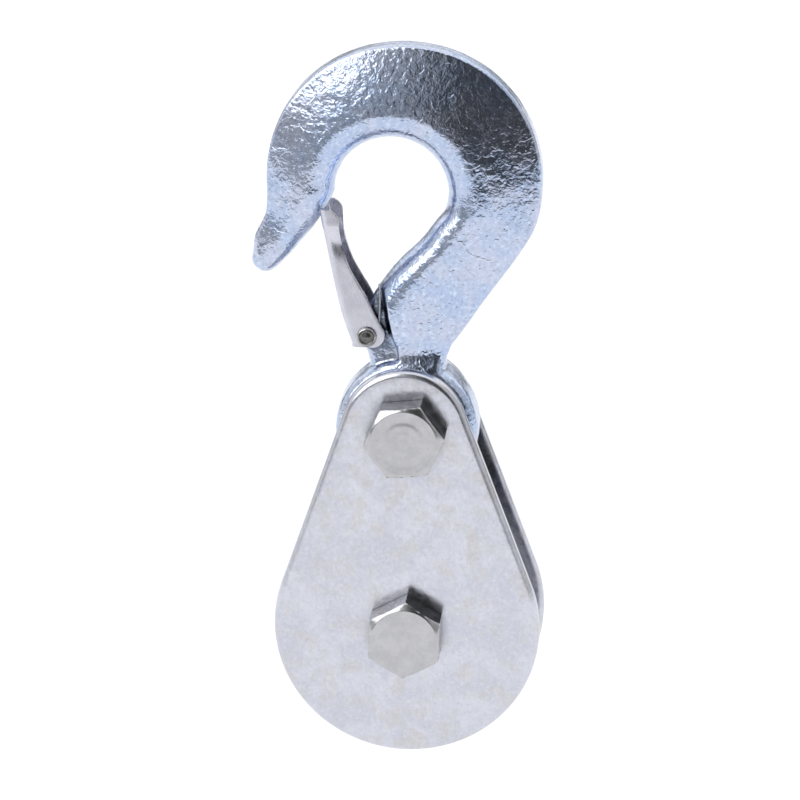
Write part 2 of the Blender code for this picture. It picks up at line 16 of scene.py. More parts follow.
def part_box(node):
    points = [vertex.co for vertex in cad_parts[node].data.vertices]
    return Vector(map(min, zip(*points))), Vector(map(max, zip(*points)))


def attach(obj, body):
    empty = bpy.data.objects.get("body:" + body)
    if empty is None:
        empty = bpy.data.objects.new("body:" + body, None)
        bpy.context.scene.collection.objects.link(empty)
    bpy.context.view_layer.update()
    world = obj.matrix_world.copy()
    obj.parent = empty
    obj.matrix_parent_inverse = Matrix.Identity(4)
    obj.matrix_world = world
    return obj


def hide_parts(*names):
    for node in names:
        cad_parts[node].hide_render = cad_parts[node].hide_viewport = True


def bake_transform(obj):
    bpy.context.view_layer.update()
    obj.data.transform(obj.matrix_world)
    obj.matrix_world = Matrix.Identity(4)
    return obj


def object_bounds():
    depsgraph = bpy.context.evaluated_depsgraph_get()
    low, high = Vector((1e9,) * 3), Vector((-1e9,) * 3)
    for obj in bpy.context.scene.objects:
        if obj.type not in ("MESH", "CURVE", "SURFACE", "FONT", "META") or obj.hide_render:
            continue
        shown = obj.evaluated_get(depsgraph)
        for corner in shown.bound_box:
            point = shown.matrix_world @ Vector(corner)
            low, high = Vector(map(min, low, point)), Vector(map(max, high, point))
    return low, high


MM = 0.001
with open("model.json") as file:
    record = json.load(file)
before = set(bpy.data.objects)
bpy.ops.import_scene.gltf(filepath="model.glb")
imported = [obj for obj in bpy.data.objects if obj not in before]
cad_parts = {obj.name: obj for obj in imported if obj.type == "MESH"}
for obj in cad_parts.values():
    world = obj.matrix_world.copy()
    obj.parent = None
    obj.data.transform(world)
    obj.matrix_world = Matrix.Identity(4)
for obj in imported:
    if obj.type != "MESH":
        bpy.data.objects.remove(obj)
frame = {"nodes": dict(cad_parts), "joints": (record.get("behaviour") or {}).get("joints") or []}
CAD_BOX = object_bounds()


def joint_place(name):
    """A joint's position in millimetres, in the frame."""
    joint = next(j for j in frame["joints"] if j["name"] == name)
    return Vector(joint["pos_m"]) / MM


PIVOT = joint_place("block_swing")
PIN = joint_place("latch_hinge") - PIVOT
AXLE = joint_place("front_sheave_spin") - PIVOT


def size_of(node):
    """A CAD node's lowest and highest corner, in millimetres from the hook bolt's axis."""
    low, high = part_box(node)
    return low / MM - PIVOT, high / MM - PIVOT


PLATE_FACE = -size_of("front_cheek_plate")[0].y
PLATE_INNER = -size_of("front_cheek_plate")[1].y
HOOK_HALF = size_of("hook_body")[1].y


# ---------------------------------------------------------------- node helpers


class Surface:
    """A Principled material and short ways to add procedural nodes to it."""

    def __init__(self, name, metallic=1.0, roughness=0.3):
        self.material = bpy.data.materials.new(name)
        self.material.use_nodes = True
        self.tree = self.material.node_tree
        self.shader = self.tree.nodes["Principled BSDF"]
        self.shader.inputs["Metallic"].default_value = metallic
        self.shader.inputs["Roughness"].default_value = roughness
        self.place = self.tree.nodes.new("ShaderNodeTexCoord").outputs["Object"]

    def set(self, socket, value):
        if isinstance(value, bpy.types.NodeSocket):
            self.tree.links.new(value, socket)
        else:
            socket.default_value = value

    def stretched(self, scale, turn):
        node = self.tree.nodes.new("ShaderNodeMapping")
        self.tree.links.new(self.place, node.inputs["Vector"])
        node.inputs["Scale"].default_value = scale
        node.inputs["Rotation"].default_value = turn
        return node.outputs["Vector"]

    def noise(self, size, detail=4.0, rough=0.55, distortion=0.0, vector=None):
        """Noise whose features are about size millimetres across."""
        node = self.tree.nodes.new("ShaderNodeTexNoise")
        self.tree.links.new(vector or self.place, node.inputs["Vector"])
        node.inputs["Scale"].default_value = 1.0 / (size * MM)
        node.inputs["Detail"].default_value = detail
        node.inputs["Roughness"].default_value = rough
        node.inputs["Distortion"].default_value = distortion
        return node.outputs["Fac"]

    def cells(self, size, feature, vector):
        node = self.tree.nodes.new("ShaderNodeTexVoronoi")
        node.feature = feature
        self.tree.links.new(vector, node.inputs["Vector"])
        node.inputs["Scale"].default_value = 1.0 / (size * MM)
        return node.outputs["Distance"]

    def warped(self, size, amount, detail=3.0):
        """The object's coordinates pushed about by noise, by up to amount millimetres."""
        node = self.tree.nodes.new("ShaderNodeTexNoise")
        self.tree.links.new(self.place, node.inputs["Vector"])
        node.inputs["Scale"].default_value = 1.0 / (size * MM)
        node.inputs["Detail"].default_value = detail
        push = self.tree.nodes.new("ShaderNodeVectorMath")
        push.operation = "MULTIPLY_ADD"
        self.tree.links.new(node.outputs["Color"], push.inputs[0])
        push.inputs[1].default_value = (amount * MM,) * 3
        self.tree.links.new(self.place, push.inputs[2])
        return push.outputs["Vector"]

    def math(self, operation, a, b=0.0):
        node = self.tree.nodes.new("ShaderNodeMath")
        node.operation = operation
        self.set(node.inputs[0], a)
        self.set(node.inputs[1], b)
        return node.outputs["Value"]

    def between(self, value, low, high, to_low=0.0, to_high=1.0):
        """value taken smoothly from the range low..high to to_low..to_high, and held at the ends."""
        node = self.tree.nodes.new("ShaderNodeMapRange")
        node.interpolation_type = "SMOOTHSTEP"
        self.set(node.inputs["Value"], value)
        node.inputs["From Min"].default_value = low
        node.inputs["From Max"].default_value = high
        node.inputs["To Min"].default_value = to_low
        node.inputs["To Max"].default_value = to_high
        return node.outputs["Result"]

    def mix(self, factor, a, b):
        node = self.tree.nodes.new("ShaderNodeMix")
        node.data_type = "RGBA"
        self.set(node.inputs["Factor"], factor)
        self.set(node.inputs[6], (*a, 1.0) if isinstance(a, tuple) else a)
        self.set(node.inputs[7], (*b, 1.0) if isinstance(b, tuple) else b)
        return node.outputs[2]

    def bump(self, height, depth, below=None):
        """Relief depth millimetres deep where height goes from 0 to 1."""
        node = self.tree.nodes.new("ShaderNodeBump")
        node.inputs["Strength"].default_value = 1.0
        node.inputs["Distance"].default_value = depth * MM
        self.tree.links.new(height, node.inputs["Height"])
        if below is not None:
            self.tree.links.new(below, node.inputs["Normal"])
        return node.outputs["Normal"]

    def edges(self, low=0.49, high=0.56):
        """0 on flats and in hollows, rising to 1 on sharp outer edges."""
        node = self.tree.nodes.new("ShaderNodeNewGeometry")
        return self.between(node.outputs["Pointiness"], low, high)

    def shelter(self, reach, low=0.3, high=0.85):
        """An ambient-occlusion mask for painted shade: 0 in the open, rising to 1 where other surfaces stand close,
        within reach millimetres.
        """
        node = self.tree.nodes.new("ShaderNodeAmbientOcclusion")
        node.samples = 8
        node.inputs["Distance"].default_value = reach * MM
        return self.between(node.outputs["AO"], low, high, 1.0, 0.0)

    def creases(self, low=0.44, high=0.485):
        """1 in sharp inner corners, falling to 0 on flats; a mask for painted shade."""
        node = self.tree.nodes.new("ShaderNodeNewGeometry")
        return self.between(node.outputs["Pointiness"], low, high, 1.0, 0.0)

    def finish(self, colour=None, roughness=None, normal=None):
        if colour is not None:
            base = (*colour, 1.0) if isinstance(colour, tuple) else colour
            self.set(self.shader.inputs["Base Color"], base)
        if roughness is not None:
            self.set(self.shader.inputs["Roughness"], roughness)
        if normal is not None:
            self.tree.links.new(normal, self.shader.inputs["Normal"])
        return self.material


# ---------------------------------------------------------------- materials


def forged_zinc():
    """Bright blue-white zinc over a scaly forging, with fine speckle, a few fold lines and pits, and painted shade
    in its creases and recesses.
    """
    s = Surface("forged_zinc")
    lumps = s.noise(4.0, 2.0, 0.5)
    skin = s.noise(1.3, 6.0, 0.72)
    scale = s.noise(1.9, 2.0, 0.55, 0.5)
    grit = s.noise(0.8, 1.0, 0.5)
    coarse = s.noise(14.0, 2.0, 0.5, 0.6)
    bent = s.warped(9.0, 9.0)
    lines = s.cells(26.0, "DISTANCE_TO_EDGE", bent)
    line = s.between(lines, 0.0, 0.009, 1.0, 0.0)
    line = s.math("MULTIPLY", line, s.between(s.noise(11.0, 2.0), 0.48, 0.58))
    pits = s.between(s.cells(2.6, "F1", s.warped(2.0, 1.2)), 0.03, 0.15, 1.0, 0.0)
    pits = s.math("MULTIPLY", pits, s.between(s.noise(8.0, 2.0), 0.48, 0.6))
    blue = s.mix(s.between(coarse, 0.35, 0.65), (0.45, 0.54, 0.735), (0.54, 0.585, 0.73))
    blue = s.mix(s.between(skin, 0.50, 0.66, 0.0, 0.8), blue, (0.70, 0.78, 0.92))
    blue = s.mix(s.between(skin, 0.32, 0.45, 0.7, 0.0), blue, (0.25, 0.30, 0.40))
    blue = s.mix(s.math("MULTIPLY", pits, 0.75), blue, (0.14, 0.15, 0.18))
    blue = s.mix(s.math("MULTIPLY", line, 0.3), blue, (0.80, 0.83, 0.90))
    # Painted shade: the colour darkens in sharp inner creases.
    blue = s.mix(s.creases(), blue, (0.13, 0.14, 0.17))
    # Painted shade: the colour darkens where ambient occlusion finds other surfaces close, as in the latch's
    # recess.
    blue = s.mix(s.math("MULTIPLY", s.shelter(12.0), 0.85), blue, (0.15, 0.175, 0.215))
    rough = s.between(s.noise(2.2, 4.0, 0.6), 0.3, 0.7, 0.10, 0.21)
    normal = s.bump(lumps, 0.10)
    normal = s.bump(scale, 0.19, normal)
    normal = s.bump(grit, 0.022, normal)
    normal = s.bump(line, 0.05, normal)
    normal = s.bump(s.math("SUBTRACT", 1.0, pits), 0.07, normal)
    return s.finish(blue, rough, normal)


def plate_zinc():
    """Satin zinc on rolled plate: faint warm mottling, a fine grain and a few specks, with painted shade where
    other parts stand close.
    """
    s = Surface("plate_zinc")
    mottle = s.noise(15.0, 4.0, 0.6, 0.4)
    warm = s.noise(8.0, 5.0, 0.62)
    grain = s.noise(0.9, 5.0, 0.7)
    ripple = s.noise(2.4, 3.0, 0.5)
    specks = s.between(s.cells(2.3, "F1", s.warped(3.0, 2.0)), 0.02, 0.10, 1.0, 0.0)
    specks = s.math("MULTIPLY", specks, s.between(s.noise(6.0, 2.0), 0.50, 0.64))
    tone = s.mix(s.between(mottle, 0.38, 0.62), (0.575, 0.585, 0.66), (0.64, 0.65, 0.715))
    tone = s.mix(s.between(warm, 0.46, 0.66, 0.0, 0.75), tone, (0.585, 0.57, 0.575))
    tone = s.mix(s.between(grain, 0.50, 0.68, 0.0, 0.6), tone, (0.73, 0.735, 0.78))
    tone = s.mix(s.between(grain, 0.32, 0.48, 0.55, 0.0), tone, (0.49, 0.495, 0.545))
    tone = s.mix(s.math("MULTIPLY", specks, 0.6), tone, (0.27, 0.265, 0.265))
    # Painted shade: the plate darkens round the bolt heads and other close parts, by ambient occlusion.
    tone = s.mix(s.math("MULTIPLY", s.shelter(7.0), 0.6), tone, (0.20, 0.20, 0.21))
    rough = s.between(s.noise(3.0, 4.0, 0.6), 0.3, 0.7, 0.14, 0.25)
    normal = s.bump(ripple, 0.02)
    normal = s.bump(grain, 0.02, normal)
    normal = s.bump(s.math("SUBTRACT", 1.0, specks), 0.03, normal)
    return s.finish(tone, rough, normal)


def bolt_zinc():
    """Cold-headed steel with a warm grey plating: fine scuffs over a smooth face."""
    s = Surface("bolt_zinc")
    cloud = s.noise(5.0, 4.0, 0.6)
    scuff = s.noise(1.6, 5.0, 0.6, 1.2)
    grain = s.noise(0.8, 4.0, 0.65)
    tone = s.mix(s.between(cloud, 0.36, 0.66), (0.475, 0.47, 0.49), (0.54, 0.535, 0.55))
    tone = s.mix(s.between(scuff, 0.5, 0.75, 0.0, 0.5), tone, (0.62, 0.62, 0.64))
    tone = s.mix(s.between(grain, 0.3, 0.46, 0.5, 0.0), tone, (0.39, 0.385, 0.40))
    rough = s.between(scuff, 0.3, 0.7, 0.13, 0.24)
    normal = s.bump(cloud, 0.012)
    normal = s.bump(scuff, 0.006, normal)
    normal = s.bump(grain, 0.002, normal)
    return s.finish(tone, rough, normal)


def sheet_steel():
    """Satin stainless sheet, with faint drawing lines along the latch."""
    s = Surface("stainless_sheet", 1.0, 0.3)
    along = s.stretched((1.0, 1.0, 0.12), (0.0, math.radians(-15), 0.0))
    drawn = s.noise(0.5, 3.0, 0.6, 0.0, along)
    cloud = s.noise(6.0, 3.0)
    tone = s.mix(s.between(cloud, 0.35, 0.65), (0.60, 0.60, 0.67), (0.67, 0.67, 0.74))
    tone = s.mix(s.between(drawn, 0.5, 0.8, 0.0, 0.25), tone, (0.76, 0.76, 0.81))
    rough = s.between(drawn, 0.3, 0.7, 0.24, 0.36)
    normal = s.bump(cloud, 0.03)
    normal = s.bump(drawn, 0.006, normal)
    return s.finish(tone, rough, normal)


def dark_steel():
    """Dark oiled steel, with a painted highlight on its sharp edges."""
    s = Surface("dark_steel", 1.0, 0.3)
    cloud = s.noise(2.0, 4.0, 0.6)
    grain = s.noise(0.4, 3.0, 0.6)
    tone = s.mix(s.between(cloud, 0.35, 0.65), (0.12, 0.118, 0.12), (0.20, 0.195, 0.19))
    # Painted highlight: the sharp outer edges are lightened to stand for glints.
    tone = s.mix(s.edges(0.5, 0.6), tone, (0.62, 0.61, 0.60))
    rough = s.between(grain, 0.3, 0.7, 0.14, 0.28)
    normal = s.bump(cloud, 0.04)
    normal = s.bump(grain, 0.012, normal)
    return s.finish(tone, rough, normal)


def spring_wire():
    s = Surface("spring_wire", 1.0, 0.26)
    drawn = s.noise(0.35, 3.0, 0.6)
    tone = s.mix(s.between(drawn, 0.35, 0.65), (0.30, 0.31, 0.32), (0.46, 0.47, 0.48))
    rough = s.between(drawn, 0.3, 0.7, 0.2, 0.34)
    return s.finish(tone, rough, s.bump(drawn, 0.01))


def around(s, size):
    """Fine rings about the bolts' axis, as a lathe tool leaves: noise read along the axis and the radius."""
    split = s.tree.nodes.new("ShaderNodeSeparateXYZ")
    s.tree.links.new(s.place, split.inputs["Vector"])
    x = s.math("SUBTRACT", split.outputs["X"], (PIVOT.x + AXLE.x) * MM)
    z = s.math("SUBTRACT", split.outputs["Z"], (PIVOT.z + AXLE.z) * MM)
    radius = s.math("SQRT", s.math("ADD", s.math("MULTIPLY", x, x), s.math("MULTIPLY", z, z)))
    join = s.tree.nodes.new("ShaderNodeCombineXYZ")
    s.tree.links.new(radius, join.inputs["X"])
    s.tree.links.new(split.outputs["Y"], join.inputs["Y"])
    return s.noise(size, 3.0, 0.6, 0.0, join.outputs["Vector"])


def turned_steel():
    """Lathe-turned steel under a light oil film."""
    s = Surface("turned_steel", 1.0, 0.3)
    rings = around(s, 0.45)
    cloud = s.noise(9.0, 4.0, 0.6)
    tone = s.mix(s.between(cloud, 0.35, 0.65), (0.40, 0.405, 0.41), (0.52, 0.52, 0.525))
    tone = s.mix(s.between(rings, 0.45, 0.75, 0.0, 0.3), tone, (0.70, 0.70, 0.71))
    rough = s.between(cloud, 0.3, 0.7, 0.22, 0.38)
    normal = s.bump(rings, 0.012)
    return s.finish(tone, rough, s.bump(cloud, 0.02, normal))


def ground_steel():
    """Ground and polished bearing steel."""
    s = Surface("ground_steel", 1.0, 0.14)
    rings = around(s, 0.2)
    cloud = s.noise(4.0, 3.0)
    tone = s.mix(s.between(cloud, 0.35, 0.65), (0.66, 0.67, 0.68), (0.74, 0.745, 0.75))
    rough = s.between(rings, 0.3, 0.7, 0.1, 0.2)
    return s.finish(tone, rough, s.bump(rings, 0.003))


def cage_brass():
    s = Surface("cage_brass", 1.0, 0.3)
    cloud = s.noise(3.0, 4.0, 0.6)
    tone = s.mix(s.between(cloud, 0.35, 0.65), (0.66, 0.47, 0.20), (0.78, 0.60, 0.30))
    rough = s.between(cloud, 0.3, 0.7, 0.22, 0.4)
    return s.finish(tone, rough, s.bump(cloud, 0.02))


# ---------------------------------------------------------------- mesh helpers


def polar(centre, radius, degrees):
    angle = math.radians(degrees)
    return (centre[0] + radius * math.cos(angle), centre[1] + radius * math.sin(angle))


def arc(centre, radius, start, end, steps):
    return [polar(centre, radius, start + (end - start) * i / steps) for i in range(steps + 1)]


def spline(points, steps):
    """A Catmull-Rom curve through rows of numbers, with steps pieces between each two."""
    rows = np.array(points, float)
    padded = np.vstack([2 * rows[0] - rows[1], rows, 2 * rows[-1] - rows[-2]])
    made = []
    for i in range(1, len(padded) - 2):
        a, b, c, d = padded[i - 1 : i + 3]
        for step in range(steps):
            t = step / steps
            linear = (c - a) * t
            square = (2 * a - 5 * b + 4 * c - d) * t**2
            cube = (3 * b - a - 3 * c + d) * t**3
            made.append(0.5 * (2 * b + linear + square + cube))
    return made + [rows[-1]]


def loft(rings, closed=False):
    """A skin through rings of (x, y, z) points, capped at its ends unless it closes on itself."""
    bm = bmesh.new()
    placed = [[bm.verts.new(point) for point in ring] for ring in rings]
    pairs = list(zip(placed, placed[1:])) + ([(placed[-1], placed[0])] if closed else [])
    for one, two in pairs:
        for i in range(len(one)):
            bm.faces.new((one[i - 1], one[i], two[i], two[i - 1]))
    if not closed:
        bm.faces.new(placed[0])
        bm.faces.new(placed[-1])
    return bm


def turned(profile, steps=160):
    """A ring: a closed profile of (radius, y), spun about the Y axis."""
    rings = []
    for i in range(steps):
        angle = 2 * math.pi * i / steps
        rings.append([(radius * math.cos(angle), y, radius * math.sin(angle)) for radius, y in profile])
    return loft(rings, closed=True)


def disc(profile, steps=96):
    """A solid of revolution about the Y axis, through (radius, y) points, with flat round ends."""
    rings = [[(x, y, z) for x, z in arc((0, 0), radius, 0, 360, steps)[:-1]] for radius, y in profile]
    return loft(rings)


def prism(outline, low, high):
    return loft([[(x, low, z) for x, z in outline], [(x, high, z) for x, z in outline]])


def rounded(corners, radius, steps=4):
    """A closed profile with each corner rounded off by about radius."""
    made = []
    for i, corner in enumerate(corners):
        here = Vector(corner)
        back = Vector(corners[i - 1]) - here
        on = Vector(corners[(i + 1) % len(corners)]) - here
        reach = min(radius, back.length * 0.45, on.length * 0.45)
        start = here + back.normalized() * reach
        end = here + on.normalized() * reach
        for step in range(steps + 1):
            t = step / steps
            made.append(tuple(start * (1 - t) ** 2 + here * 2 * t * (1 - t) + end * t**2))
    return made


def piece(name, bm, material, body, replaces, at=Vector(), angle=40.0):
    """Turn a drawn mesh into a finished piece that rides on a body and stands for its CAD nodes."""
    bmesh.ops.recalc_face_normals(bm, faces=bm.faces)
    bmesh.ops.transform(bm, matrix=Matrix.Scale(MM, 4) @ Matrix.Translation(PIVOT + at), verts=bm.verts)
    mesh = bpy.data.meshes.new(name)
    bm.to_mesh(mesh)
    bm.free()
    obj = bpy.data.objects.new(name, mesh)
    bpy.context.scene.collection.objects.link(obj)
    return dress(obj, material, body, replaces, angle)


def dress(obj, material, body, replaces, angle=40.0):
    obj.data.materials.clear()
    obj.data.materials.append(material)
    obj.data.shade_smooth()
    obj.data.set_sharp_from_angle(angle=math.radians(angle))
    if body:
        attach(obj, body)
    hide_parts(*replaces)
    return obj


def raw(name, bm):
    """A mesh in millimetres that only helps to make a piece."""
    bmesh.ops.recalc_face_normals(bm, faces=bm.faces)
    mesh = bpy.data.meshes.new(name)
    bm.to_mesh(mesh)
    bm.free()
    obj = bpy.data.objects.new(name, mesh)
    bpy.context.scene.collection.objects.link(obj)
    return obj


def combine(obj, operation, tool):
    modifier = obj.modifiers.new(operation, "BOOLEAN")
    modifier.operation = operation
    modifier.solver = "EXACT"
    modifier.object = tool
    bake(obj)
    bpy.data.objects.remove(tool)


def bake(obj):
    """Apply an object's modifiers."""
    bpy.context.view_layer.update()
    graph = bpy.context.evaluated_depsgraph_get()
    mesh = bpy.data.meshes.new_from_object(obj.evaluated_get(graph))
    obj.modifiers.clear()
    obj.data = mesh


def melt(obj, voxel, smooth):
    """Remesh to an even skin and let its creases run together, as a forging die does."""
    remesh = obj.modifiers.new("remesh", "REMESH")
    remesh.mode = "VOXEL"
    remesh.voxel_size = voxel
    bake(obj)
    relax(obj, smooth)


def relax(obj, rounds):
    soften = obj.modifiers.new("soften", "SMOOTH")
    soften.factor = 0.5
    soften.iterations = rounds
    bake(obj)


# ---------------------------------------------------------------- hook

BOWL_CENTRE = (-5.9, 81.1)
BOWL_RADIUS = 19.2
CROWN_CENTRE = (-1.4, 85.7)
CROWN_RADIUS = 46.4
CROWN_SQUARENESS = 2.06
SPINE_HALF = 4.5
TIP_CENTRE = (-48.7, 57.1)
TIP_AXIS = (-0.618, -0.786)
TIP_RADIUS = 4.7
TIP_HALF = 4.8
EYE_CENTRE = (-0.4, -0.9)
EYE_RADIUS = 24.4
EYE_BORE = 10.1
EYE_CORNER = 3.8
RECESS_FLARE = 2.2
LUG_HALF = 2.4
SPRING_POCKET_RADIUS = 4.4
PIN_RADIUS = 2.3


def on_crown(degrees):
    """Where a ray from the bowl's centre meets the crown, a slightly squared circle."""
    near, far = BOWL_RADIUS, 2 * CROWN_RADIUS
    for _ in range(40):
        middle = (near + far) / 2
        x, z = polar(BOWL_CENTRE, middle, degrees)
        across = abs((x - CROWN_CENTRE[0]) / CROWN_RADIUS) ** CROWN_SQUARENESS
        along = abs((z - CROWN_CENTRE[1]) / CROWN_RADIUS) ** CROWN_SQUARENESS
        if across + along < 1:
            near = middle
        else:
            far = middle
    return (x, z)


def hook_stations():
    """Rows of inner x, z, outer x, z, inner half thickness, outer half thickness and outer rounding."""
    across = (TIP_AXIS[1], -TIP_AXIS[0])
    rows = []
    for degrees in (86, 74, 60, 45, 30, 15):
        reach = TIP_RADIUS * math.sin(math.radians(degrees))
        shrink = math.cos(math.radians(degrees))
        x = TIP_CENTRE[0] + TIP_AXIS[0] * reach
        z = TIP_CENTRE[1] + TIP_AXIS[1] * reach
        side = TIP_RADIUS * shrink
        half = TIP_HALF * shrink
        inner = (x - across[0] * side, z - across[1] * side)
        outer = (x + across[0] * side, z + across[1] * side)
        rows.append((*inner, *outer, half, half, half * 0.9))
    tip = [
        (-44.5, 54.4, -52.8, 60.4, 5.0, 4.6, 3.4),
        (-40.3, 58.7, -52.2, 65.1, 5.9, 4.3, 2.4),
        (-36.0, 64.0, -49.9, 69.7, 6.8, 4.2, 1.8),
        (-31.8, 69.2, -48.2, 74.0, 7.7, 4.3, 1.4),
        (-28.1, 74.8, -47.7, 79.4, 8.5, SPINE_HALF, 1.2),
    ]
    rows += tip
    for degrees in range(180, -1, -6):
        inner = polar(BOWL_CENTRE, BOWL_RADIUS, degrees)
        rows.append((*inner, *on_crown(degrees), HOOK_HALF, SPINE_HALF, 0.8))
    shank = [
        (12.2, 75.4, 44.3, 76.2, HOOK_HALF, 4.6, 1.3),
        (8.5, 70.6, 42.3, 69.4, HOOK_HALF, 4.8, 1.5),
        (3.9, 64.5, 37.7, 61.4, HOOK_HALF, 5.1, 1.8),
        (-1.9, 58.8, 31.7, 52.7, HOOK_HALF, 5.3, 2.0),
        (-7.0, 53.0, 25.5, 44.1, HOOK_HALF, 5.4, 2.2),
        (-11.2, 46.8, 20.6, 36.7, HOOK_HALF, 5.6, 2.4),
        (-14.6, 40.1, 16.9, 31.5, HOOK_HALF, 6.0, 2.8),
        (-17.8, 34.2, 14.6, 28.3, 8.8, 6.1, 3.2),
        (-17.4, 30.5, 13.7, 25.7, 8.0, 6.2, 3.4),
        (-14.8, 26.4, 12.8, 23.6, 7.4, 6.8, 3.6),
        (-13.4, 21.6, 12.5, 20.6, 8.0, 8.0, 3.8),
        (-12.0, 15.0, 11.5, 14.4, 8.4, 8.4, 3.4),
    ]
    rows += shank
    return spline(rows, 3)


def hook_ring(row):
    """One forged section: a round nose on the bowl's side, crowned flanks, a narrow tight-edged spine."""
    inner, outer = Vector(row[0:2]), Vector(row[2:4])
    inner_half, outer_half, rounding = row[4:7]
    width = (outer - inner).length
    nose = min(inner_half, 0.42 * width)
    side = []
    for degrees in range(12, 91, 13):
        angle = math.radians(degrees)
        side.append((nose * (1 - math.cos(angle)), inner_half * math.sin(angle)))
    end = width - rounding
    for step in range(1, 12):
        t = step / 12
        side.append((nose + (end - nose) * t, inner_half - (inner_half - outer_half) * t**1.25))
    for degrees in range(90, 0, -18):
        angle = math.radians(degrees)
        side.append((width - rounding * (1 - math.cos(angle)), outer_half - rounding * (1 - math.sin(angle))))
    side.append((width, (outer_half - rounding) * 0.5))
    loop = [(0.0, 0.0)] + side + [(width, 0.0)] + [(depth, -half) for depth, half in reversed(side)]
    step = (outer - inner) / width
    return [(inner.x + step.x * depth, half, inner.y + step.y * depth) for depth, half in loop]


def eye_profile():
    """Half of the eye's outer section, as (radius, y): a flat face, a soft corner, a crowned rim."""
    centre = (EYE_RADIUS - EYE_CORNER, HOOK_HALF - EYE_CORNER)
    corner = arc(centre, EYE_CORNER, 90, 15, 8)
    return [(2.0, HOOK_HALF)] + corner + [(EYE_RADIUS, HOOK_HALF - 5.6)]


def forge(obj):
    """Lumps and shallow dents of the forging."""
    mesh = obj.data
    count = len(mesh.vertices)
    co = np.empty(count * 3)
    mesh.vertices.foreach_get("co", co)
    co = co.reshape(-1, 3)
    normals = np.empty(count * 3, np.float32)
    mesh.vertex_normals.foreach_get("vector", normals)
    normals = normals.reshape(-1, 3)
    bored = np.hypot(co[:, 0], co[:, 2]) < EYE_BORE + 0.8
    amount = np.empty(count)
    for i, point in enumerate(co):
        place = Vector(point)
        amount[i] = 0.10 * noise.noise(place / 8.0) + 0.035 * noise.noise(place / 2.6)
    amount[bored] = 0.0
    co += normals * amount[:, None]
    mesh.vertices.foreach_set("co", co.ravel())
    mesh.update()


def recess_shape():
    """What the shank is thinned by for the latch's flanges: a deep slab whose walls lean out a little."""
    shank_side = spline([(-9.1, 49.8), (-8.3, 43.5), (-7.6, 38.0), (-6.2, 32.6), (-4.0, 27.6)], 4)
    eye_side = arc(EYE_CENTRE, EYE_RADIUS + 0.3, 97, 146, 16)
    open_side = [(-45.0, 14.7), (-45.0, 31.0), (-22.0, 37.0), (-14.0, 43.0)]
    floor = [tuple(point) for point in shank_side] + eye_side + open_side
    mouth = []
    for i, (x, z) in enumerate(floor):
        before, after = floor[i - 1], floor[(i + 1) % len(floor)]
        along = Vector((after[0] - before[0], after[1] - before[1])).normalized()
        mouth.append((x - along.y * RECESS_FLARE, z + along.x * RECESS_FLARE))
    high = HOOK_HALF + 2.0
    return loft([[(x, recess_depth(z), z) for x, z in floor], [(x, high, z) for x, z in mouth]])


def recess_depth(z):
    """The recess floor's distance from the hook's middle: it runs out a little towards the eye."""
    return float(np.interp(z, (22.0, 46.0), (5.5, 3.2)))


def make_hook(material):
    hook = raw("forged_hook", loft([hook_ring(row) for row in hook_stations()]))
    upper = eye_profile()
    eye = disc([(radius, -y) for radius, y in upper] + upper[::-1], 120)
    bmesh.ops.translate(eye, verts=eye.verts, vec=(EYE_CENTRE[0], 0, EYE_CENTRE[1]))
    combine(hook, "UNION", raw("eye_shape", eye))
    melt(hook, 0.5, 4)
    for side in (-1, 1):
        pocket = disc([(SPRING_POCKET_RADIUS, LUG_HALF), (SPRING_POCKET_RADIUS, 20)], 48)
        bmesh.ops.translate(pocket, verts=pocket.verts, vec=PIN)
        for shape in (recess_shape(), pocket):
            bmesh.ops.scale(shape, vec=(1, side, 1), verts=shape.verts)
            combine(hook, "DIFFERENCE", raw("cut", shape))
    melt(hook, 0.45, 2)
    hole = disc([(PIN_RADIUS + 0.3, -20), (PIN_RADIUS + 0.3, 20)], 48)
    bmesh.ops.translate(hole, verts=hole.verts, vec=PIN)
    combine(hook, "DIFFERENCE", raw("pin_hole", hole))
    combine(hook, "DIFFERENCE", raw("bore", disc([(EYE_BORE, -20), (EYE_BORE, 20)], 96)))
    forge(hook)
    hook.data.transform(Matrix.Scale(MM, 4) @ Matrix.Translation(PIVOT))
    return dress(hook, material, "hook", ["hook_body"], 50.0)


# ---------------------------------------------------------------- latch

LATCH_SHEET = 1.1
LATCH_HALF = 6.9
LATCH_HEAD_HALF = 8.2
LATCH_WEB_TOP = 40.2
NOTCH_HALF = 5.8
WIRE_RADIUS = 0.5


def latch_rows():
    """Rows up the latch, from the pin: height, web's x, flange edge's x, half width of the channel."""
    heel_centre, heel_radius = (1.5, 0.6), 4.6
    rows = []
    for degrees in (-75, -60, -42, -22, 0, 20, 40):
        x, z = polar(heel_centre, heel_radius, degrees)
        rows.append((z, x, LATCH_HALF))
    edge = [(2.4, 8.6), (0.2, 13.4), (-3.0, 18.8), (-5.7, 23.8), (-7.5, 29.0), (-8.7, 34.0)]
    rows += [(z, x, LATCH_HALF) for x, z in edge] + [(36.4, -9.1, 7.5)]
    head_edge = [(-9.2, 38.2), (-9.3, 41.0), (-10.4, 43.0), (-12.2, 44.4)]
    rows += [(z, x, LATCH_HEAD_HALF) for x, z in head_edge]
    left = [(-2.4, -5.2), (6.9, -8.5), (19.6, -11.3), (33.5, -14.0), (45.3, -15.9)]
    heights = [z for z, _ in left]
    places = [x for _, x in left]
    return [(z, float(np.interp(z, heights, places)), x, half) for z, x, half in rows]


def dimple(z):
    """How far the flanges are pinched in just below the wider head."""
    return 0.9 * math.exp(-(((z - 31.8) / 3.0) ** 2))


